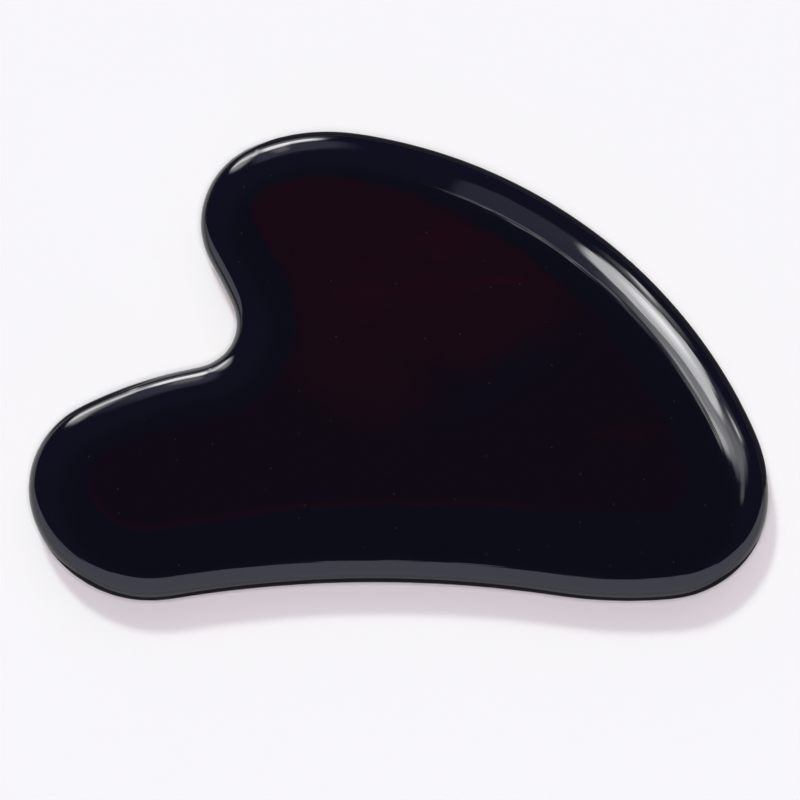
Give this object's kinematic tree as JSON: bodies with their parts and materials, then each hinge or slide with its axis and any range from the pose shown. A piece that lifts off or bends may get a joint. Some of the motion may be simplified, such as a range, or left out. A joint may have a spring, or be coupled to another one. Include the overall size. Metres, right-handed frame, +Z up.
{
  "type": "gua sha scraper",
  "caption": "Flat polished stone scraper with two round lobes, a notch between them, a long convex edge and a shallow hollow edge.",
  "frame": {"origin": "on the lower flat face, at the middle of the outline's box", "axes": "+X along the stone from the two lobes to the heel, +Y from the hollow edge to the upper lobe, +Z up through the thickness"},
  "size_m": [0.0798, 0.0526, 0.0062],
  "materials": {
    "obsidian": "high polish, near black with a faint maroon depth"
  },
  "bodies": {
    "root": {"scraper_stone": "obsidian"}
  },
  "joints": []
}
